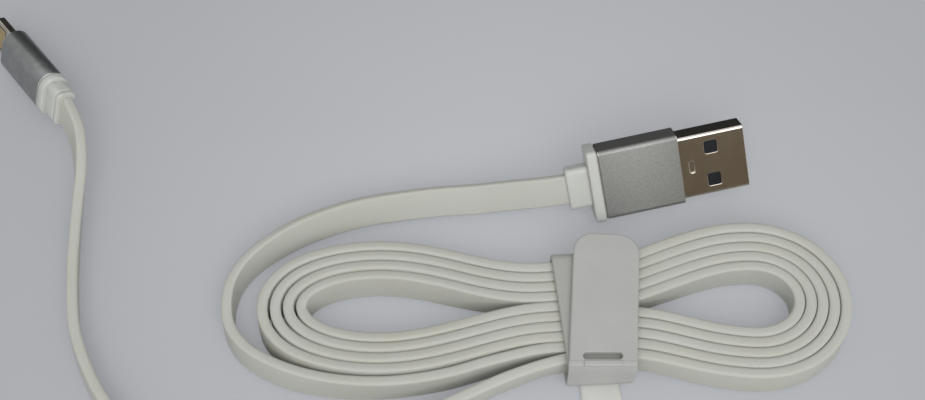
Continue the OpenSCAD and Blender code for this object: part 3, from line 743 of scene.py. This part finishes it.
# The slant has moved the near face along x, and the tail with it
TAIL_PLACE = (STRAP @ Matrix.Translation((-NEAR_FACE * STRAP_SLANT, NEAR_FACE, 0))
              @ Matrix.Rotation(math.radians(TAIL_TURN), 4, "Z"))
tail = block((-TAIL_W / 2, -TAIL_L, 0), (TAIL_W / 2, STRAP_T + TAIL_INSIDE, STRAP_T))
round_edges(tail, [e for e in edges_along(tail, 2) if e.verts[0].co.y < 0], TAIL_R, segments=8)
round_edges(tail, level_corners(tail), TAIL_EDGE, segments=5)
piece("strap_tail_end", settle_into(tail, TAIL_PLACE), "root", [LIT_TAIL_SILICONE],
      ("strap_band",))


# ---------- strap tab ----------
TAB_EDGE = 0.42
SLOT_EDGE = 0.16
# The slot's ends are this much short of a full half round, and it is cut this far up and down
SLOT_FLAT = 0.02
SLOT_CUT = 2
# A low rib beside the slot: its corners, in the tab's frame, and its roundings
RIB_LO = (-SLOT_W / 2 + 0.1, -0.6, 0.2)
RIB_HI = (SLOT_W / 2 - 0.1, 0.5, 0.86)
RIB_R = 0.32
RIB_END = 0.3

tab_z = local_box("strap_tab", Matrix())[0].z + STRAP_T / 2
TAB = Matrix.Translation((HINGE_X, HINGE_Y, tab_z))
over = STRAP_W * math.sin(math.radians(TAB_SKEW))
plate = block((-STRAP_W / 2, -over, -STRAP_T / 2), (STRAP_W / 2, TAB_L, STRAP_T / 2))
round_edges(plate, [e for e in edges_along(plate, 2) if e.verts[0].co.y > 0], TAB_R,
            segments=10)
bmesh.ops.rotate(plate, cent=(0, 0, 0), verts=plate.verts,
                 matrix=Matrix.Rotation(-math.radians(TAB_SKEW), 3, "Z"))
bmesh.ops.bisect_plane(plate, geom=plate.verts[:] + plate.edges[:] + plate.faces[:],
                       plane_co=(0, -STRAP_T / 2, 0), plane_no=(0, -1, 0), clear_outer=True)
bmesh.ops.holes_fill(plate, edges=[e for e in plate.edges if e.is_boundary])
plate.normal_update()
round_edges(plate, level_corners(plate), TAB_EDGE, segments=5)
slit = block((-SLOT_W / 2, SLOT_AT - SLOT_L / 2, -SLOT_CUT),
             (SLOT_W / 2, SLOT_AT + SLOT_L / 2, SLOT_CUT))
round_edges(slit, edges_along(slit, 2), SLOT_L / 2 - SLOT_FLAT, segments=5)
tab = piece("strap_tab_plate", settle_into(cut(plate, slit), TAB), "tab",
            [SILICONE], ("strap_tab",))
soften(tab, SLOT_EDGE)

rib = bar(RIB_LO, RIB_HI, RIB_R, segments=6, ends=RIB_END, end_segments=5)
piece("strap_tab_rib", settle_into(rib, TAB), "tab", [SILICONE])


# ---------- strap fold ----------
# The sheet that runs up the near face and over into the tab: its thickness and edges, how far
# it stays inside the strap's sides, and how far it stands proud of the near face
FOLD_T = 0.45
FOLD_EDGE = 0.22
FOLD_INSET = 0.02
FOLD_PROUD = 0.07
# Its foot's height, where below the band's top it turns, and how deep the turn is
FOLD_FOOT = 2.6
FOLD_BELOW = 1.4
FOLD_TURN = 1.1
# How far it covers the tab's top, and how it then dips under: run and drop of each step
FOLD_OVER = 0.05
FOLD_DIP = ((0.25, 0.02), (0.5, 0.12))
# Its foot is turned as the near face is, and the turn fades out over a run up to this height
TWIST_TOP = 0.6
TWIST_RUN = 2
RISE_STEPS = 6
TURN_STEPS = 8


def fold_over():
    """The sheet in the tab's frame: a side view in y and z, drawn out along x."""
    half = STRAP_W / 2 - FOLD_INSET
    foot, low = NEAR_FACE - HINGE_Y - FOLD_PROUD, FOLD_FOOT - tab_z
    rise, crown = band_top - FOLD_BELOW - tab_z, STRAP_T / 2 + FOLD_OVER
    path = [(foot, low + (rise - low) * j / RISE_STEPS) for j in range(RISE_STEPS + 1)]
    for j in range(1, TURN_STEPS + 1):
        a = math.pi / 2 * j / TURN_STEPS
        path.append((foot + FOLD_TURN * (1 - math.cos(a)), rise + (crown - rise) * math.sin(a)))
    path += [(foot + FOLD_TURN + run, crown - drop) for run, drop in FOLD_DIP]
    bm = bmesh.new()
    verts = [bm.verts.new((-half, y, z)) for y, z in path]
    edges = [bm.edges.new(pair) for pair in zip(verts, verts[1:])]
    made = bmesh.ops.extrude_edge_only(bm, edges=edges)
    moved = [v for v in made["geom"] if isinstance(v, bmesh.types.BMVert)]
    bmesh.ops.translate(bm, vec=(2 * half, 0, 0), verts=moved)
    bm.normal_update()
    if sum(f.normal.y for f in bm.faces) > 0:
        bmesh.ops.reverse_faces(bm, faces=bm.faces[:])
    bmesh.ops.solidify(bm, geom=bm.faces[:], thickness=FOLD_T)
    bmesh.ops.recalc_face_normals(bm, faces=bm.faces[:])
    bm.normal_update()
    round_edges(bm, rim_edges(bm, half, -half), FOLD_EDGE, segments=3)
    for v in bm.verts:
        twist = math.tan(math.radians(STRAP_TURN)) * clamp((rise + TWIST_TOP - v.co.z) / TWIST_RUN)
        v.co.y += v.co.x * twist
    return bm


web = piece("strap_fold_to_tab", settle_into(fold_over(), TAB), None, [SILICONE])
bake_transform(web)


# ---------- plugs ----------
# A moulded neck reaches this far into what carries it
NECK_INSIDE = 0.2


def is_outer(face, middle):
    """Whether a face is on a tube's outer side."""
    away = face.calc_center_median() - middle
    return abs(face.normal.x) < NO_SIDE and face.normal.dot(away) > 0


def sleeve(name, node, matrix, corner, wall, edge, main, bright):
    """A drawn metal sleeve, open at both ends, with bright cut rims."""
    lo, hi = local_box(node, matrix)
    bm = hollow(bar(lo, hi, corner, segments=10), wall)
    outer = [e for e in rim_edges(bm, lo.x, hi.x)
             if any(is_outer(f, (lo + hi) / 2) for f in e.link_faces)]
    round_edges(bm, outer, edge, segments=2, material=1)
    return piece(name, settle_into(bm, matrix), "root", [main, bright], (node,))


# ---------- host plug ----------
SHELL_R = 0.6
SHELL_T = 0.32
SHELL_EDGE = 0.09
# Windows: side, rounding, how far back from the mouth, how far apart from middle to middle, and
# how far up and down they are cut
WINDOW_A = 2.4
WINDOW_R = 0.35
WINDOW_AT = 6.2
WINDOW_GAP = 6.3
WINDOW_CUT = 4
# Detent: from and to, back from the mouth and across, its depth, and its rounding
DETENT_X = (10.5, 9.5)
DETENT_Y = (-1.2, 1.1)
DETENT_D = 0.2
DETENT_R = 0.42
# End cap: the seam between it and the sleeve, and the spigot that it has in the sleeve
SEAM = 0.16
CAP_R = 0.8
CAP_EDGE = 0.32
SPIGOT_IN = 0.45
SPIGOT_FROM = 0.5
SPIGOT_R = 0.4
HOST_NECK_R = 0.9
HOST_NECK_EDGE = 0.45

sleeve("host_sleeve_blasted", "host_sleeve", HOST, corner=0.8, wall=0.38, edge=0.16,
       main=BLASTED, bright=POLISHED)

shell_lo, shell_hi = local_box("host_shell", HOST)
shell = hollow(bar(shell_lo, shell_hi, SHELL_R, segments=8), SHELL_T)
openings = []
for side in (-1, 1):
    centre = Vector((shell_hi.x - WINDOW_AT, side * WINDOW_GAP / 2, 0))
    corner = Vector((WINDOW_A / 2, WINDOW_A / 2, WINDOW_CUT))
    window = block(centre - corner, centre + corner)
    round_edges(window, edges_along(window, 2), WINDOW_R, segments=4)
    openings.append(window)
detent = block((shell_hi.x - DETENT_X[0], DETENT_Y[0], shell_hi.z - DETENT_D),
               (shell_hi.x - DETENT_X[1], DETENT_Y[1], shell_hi.z + CUT_PAST))
round_edges(detent, edges_along(detent, 2), DETENT_R, segments=5)
host_shell = piece("host_shell_plated", settle_into(cut(shell, *openings, detent), HOST), "root",
                   [PLATED], ("host_shell",))
soften(host_shell, SHELL_EDGE)

cap_lo, cap_hi = local_box("host_end_cap", HOST)
sleeve_lo, sleeve_hi = local_box("host_sleeve", HOST)
spigot = Vector((0, SPIGOT_IN, SPIGOT_IN))
cap = join(
    bar(cap_lo, at_x(sleeve_lo.x - SEAM, cap_hi), CAP_R, segments=8, ends=CAP_EDGE, end_segments=4),
    bar(at_x(cap_lo.x + SPIGOT_FROM, sleeve_lo + spigot), at_x(cap_hi.x, sleeve_hi - spigot),
        SPIGOT_R))
piece("host_end_cap_flange", settle_into(cap, HOST), "root", [MOULDED],
      ("host_end_cap",))

neck_lo, neck_hi = local_box("host_neck", HOST)
neck = bar(neck_lo, at_x(neck_hi.x + NECK_INSIDE, neck_hi), HOST_NECK_R, segments=8,
           ends=HOST_NECK_EDGE, end_segments=5)
piece("host_neck_moulded", settle_into(neck, HOST), "root", [MOULDED],
      ("host_neck",))


# ---------- device plug ----------
# Half-round sides, but for a narrow flat
SIDE_FLAT = 0.02
COLLAR_EDGE = 0.35
COLLAR_GAP = 0.02
# Neck: a lip, a groove and a body on one core
LIP_L = 0.9
GROOVE_L = 0.35
GROOVE_D = 0.3
NECK_R = 1.2
NECK_EDGE = 0.3
CORE_R = 0.9
CORE_FROM = 0.3
# Metal tab: its tip's and its long edges' rounding, and the gap round the contact block
TIP_R = 0.7
BLADE_EDGE = 0.22
BLOCK_GAP = 0.05

device_sleeve_lo, device_sleeve_hi = local_box("device_sleeve", DEVICE)
side_r = (device_sleeve_hi.z - device_sleeve_lo.z) / 2 - SIDE_FLAT
device_sleeve = sleeve("device_sleeve_grey", "device_sleeve", DEVICE, corner=side_r, wall=0.45,
                       edge=0.18, main=GREY_METAL, bright=POLISHED)

collar_lo, collar_hi = local_box("device_end_collar", DEVICE)
collar = bar(collar_lo, at_x(device_sleeve_lo.x - COLLAR_GAP, collar_hi), side_r, segments=10,
             ends=COLLAR_EDGE, end_segments=4)
device_collar = piece("device_collar_moulded", settle_into(collar, DEVICE), "root",
                      [MOULDED], ("device_end_collar",))

neck_lo, neck_hi = local_box("device_neck", DEVICE)
inset = Vector((0, GROOVE_D, GROOVE_D))
neck = join(
    bar(at_x(neck_lo.x + LIP_L + GROOVE_L, neck_lo), at_x(neck_hi.x + NECK_INSIDE, neck_hi),
        NECK_R, segments=8, ends=NECK_EDGE, end_segments=4),
    bar(neck_lo, at_x(neck_lo.x + LIP_L, neck_hi), NECK_R, segments=8, ends=NECK_EDGE,
        end_segments=4),
    bar(at_x(neck_lo.x + CORE_FROM, neck_lo + inset), neck_hi - inset, CORE_R, segments=8))
device_neck = piece("device_neck_moulded", settle_into(neck, DEVICE), "root",
                    [MOULDED], ("device_neck",))

blade_lo, blade_hi = local_box("device_tab", DEVICE)
block_lo, block_hi = local_box("device_contact_block", DEVICE)
blade = block(blade_lo, blade_hi)
half_way = (blade_lo.x + blade_hi.x) / 2
round_edges(blade, [e for e in edges_along(blade, 2) if e.verts[0].co.x > half_way],
            TIP_R, segments=6)
round_edges(blade, level_corners(blade), BLADE_EDGE, segments=3)
gap = Vector((BLOCK_GAP, BLOCK_GAP, CUT_PAST))
blade = cut(blade, block(block_lo - gap, block_hi + gap))
device_tab = piece("device_tab_plated", settle_into(blade, DEVICE), "root",
                   [TAB_METAL], ("device_tab",))


# ---------- pieces that stay as the solids are ----------
KEPT_SOLIDS = {
    "host_insulator": BLACK_NYLON, "host_contacts": GOLD, "host_wires": RED_WIRE,
    "host_cable_clamp": PRESSED_STEEL, "host_inner_mould": HOT_MELT,
    "device_chip": CHIP_EPOXY, "device_circuit_board": SOLDER_MASK,
    "device_contact_block": DARK_BLOCK, "device_contacts": GOLD,
    "device_inner_mould": HOT_MELT, "device_shield": PRESSED_STEEL, "device_wires": RED_WIRE}

for name, material in KEPT_SOLIDS.items():
    mesh = nodes[name].data
    mesh.materials.clear()
    mesh.materials.append(material)


# ---------- floor and light, in metres ----------
def emitter(name, colour):
    material = bpy.data.materials.new(name)
    material.use_nodes = True
    tree = material.node_tree
    tree.nodes.clear()
    emission = tree.nodes.new("ShaderNodeEmission")
    emission.inputs["Color"].default_value = (*colour, 1)
    out = tree.nodes.new("ShaderNodeOutputMaterial")
    tree.links.new(emission.outputs[0], out.inputs["Surface"])
    return material


def card(name, colour, corners):
    """A glowing card that only glossy surfaces see, bright or dark: a painted reflection."""
    bm = bmesh.new()
    bm.faces.new([bm.verts.new(c) for c in corners])
    obj = piece(name, bm, None, [emitter(name, colour)])
    obj.visible_camera = obj.visible_diffuse = obj.visible_shadow = False


def soft_lamp(name, place, aim, size, power):
    data = bpy.data.lights.new(name, "AREA")
    data.size = size
    data.energy = power
    lamp = bpy.data.objects.new(name, data)
    lamp.location = place
    lamp.rotation_euler = (Vector(aim) - Vector(place)).to_track_quat("-Z", "Y").to_euler()
    bpy.context.scene.collection.objects.link(lamp)


def paint_light_pool(material, centre, radii, levels):
    """Paints a pool of light on a surface round a place: two radii, and the level at each. Gives
    the level.
    """
    tree = material.node_tree
    away = tree.nodes.new("ShaderNodeVectorMath")
    away.operation = "DISTANCE"
    away.inputs[1].default_value = centre
    level = tree.nodes.new("ShaderNodeMapRange")
    level.interpolation_type = "SMOOTHSTEP"
    set_inputs(level, {"From Min": radii[0], "From Max": radii[1],
                       "To Min": levels[0], "To Max": levels[1]})
    lit = colour_mix(tree, "MULTIPLY")
    set_inputs(lit, {"Factor": 1})
    base = tree.nodes["Principled BSDF"].inputs["Base Color"]
    link_nodes(tree, [
        (tree.nodes["Texture Coordinate"].outputs["Object"], away.inputs[0]),
        (away.outputs["Value"], level.inputs["Value"]),
        (base.links[0].from_socket, lit.inputs[MIX_A]),
        (level.outputs["Result"], lit.inputs[MIX_B]), (lit.outputs[MIX_OUT], base)])
    return level.outputs["Result"]


def painted_glow(material, colour, share, level):
    """Paints light on a surface: it shows a share of a plain glowing colour where it is seen, so
    its shadows stay pale.
    """
    tree = material.node_tree
    rays = tree.nodes.new("ShaderNodeLightPath").outputs
    seen = combine(tree, "ADD", rays["Is Camera Ray"], rays["Is Glossy Ray"])
    seen = combine(tree, "ADD", seen, rays["Is Transmission Ray"], hold=True)
    part = tree.nodes.new("ShaderNodeMath")
    part.operation = "MULTIPLY"
    part.inputs[1].default_value = share
    plain = tree.nodes.new("ShaderNodeEmission")
    plain.inputs["Color"].default_value = (*colour, 1)
    choose = tree.nodes.new("ShaderNodeMixShader")
    link_nodes(tree, [
        (level, plain.inputs["Strength"]), (seen, part.inputs[0]),
        (part.outputs[0], choose.inputs["Fac"]),
        (tree.nodes["Principled BSDF"].outputs[0], choose.inputs[1]),
        (plain.outputs[0], choose.inputs[2]),
        (choose.outputs[0], tree.nodes["Material Output"].inputs["Surface"])])


def studio_world(low, high, top):
    """Light from all round, of one colour at the horizon and another from a height up."""
    world = bpy.data.worlds.new("studio")
    bpy.context.scene.world = world
    world.use_nodes = True
    tree = world.node_tree
    tree.nodes.clear()
    direction = tree.nodes.new("ShaderNodeTexCoord")
    parts = tree.nodes.new("ShaderNodeSeparateXYZ")
    height = tree.nodes.new("ShaderNodeMapRange")
    set_inputs(height, {"From Min": 0.0, "From Max": top})
    sky = colour_mix(tree)
    sky.inputs[MIX_A].default_value = (*low, 1)
    sky.inputs[MIX_B].default_value = (*high, 1)
    around = tree.nodes.new("ShaderNodeBackground")
    out = tree.nodes.new("ShaderNodeOutputWorld")
    link_nodes(tree, [
        (direction.outputs["Generated"], parts.inputs[0]),
        (parts.outputs["Z"], height.inputs["Value"]),
        (height.outputs["Result"], sky.inputs["Factor"]),
        (sky.outputs[MIX_OUT], around.inputs["Color"]), (around.outputs[0], out.inputs["Surface"])])


table_top = finish("table_top", (0.435, 0.447, 0.472), (0.422, 0.434, 0.459), (0.7, 0.8),
                   grain=900, relief=0.002, patches=9)
# Painted pool of light on the floor: lighter round the cable's middle, a little darker further out
painted_light_level = paint_light_pool(table_top, centre=(-0.012, 0.012, 0), radii=(0.0, 0.11), levels=(1.14, 0.95))
# Painted light: the floor glows with a share of a plain colour, as strong as the painted pool,
# which keeps its shadows pale
painted_glow(table_top, colour=(0.45, 0.461, 0.488), share=0.4, level=painted_light_level)
floor_mesh = bmesh.new()
bmesh.ops.create_grid(floor_mesh, x_segments=1, y_segments=1, size=3)
floor = piece("floor", floor_mesh, None, [table_top])

# Painted reflections for the metal: dark cards behind the plugs, a brown one in front and a white
# one overhead, seen only by glossy surfaces
PAINTED_REFLECTION_BLACK = (0.028, 0.029, 0.029)
card("painted_dark_reflection", PAINTED_REFLECTION_BLACK,
     [(-0.075, 0.037, 0.0), (0.12, 0.05, 0.0), (0.26, 0.36, 0.38), (-0.075, 0.34, 0.38)])
card("painted_dark_reflection_left", PAINTED_REFLECTION_BLACK,
     [(-0.125, 0.078, 0.0), (-0.075, 0.062, 0.0), (-0.02, 0.26, 0.24), (-0.22, 0.26, 0.24)])
card("painted_brown_reflection", (0.14, 0.112, 0.075),
     [(-0.16, -0.3, 0.0), (0.46, -0.3, 0.0), (0.46, -0.3, 0.2), (-0.16, -0.3, 0.2)])
card("painted_white_reflection", (0.95, 0.95, 0.95),
     [(-0.5, -0.1, 0.6), (0.5, -0.1, 0.6), (0.5, 0.7, 0.6), (-0.5, 0.7, 0.6)])
studio_world(low=(0.62, 0.615, 0.6), high=(0.45, 0.455, 0.46), top=0.9)
soft_lamp("main_softbox", place=(0.08, -0.66, 0.87), aim=(-0.03, 0.02, 0), size=0.95, power=8.2)

bpy.context.scene.view_settings.view_transform = "Standard"
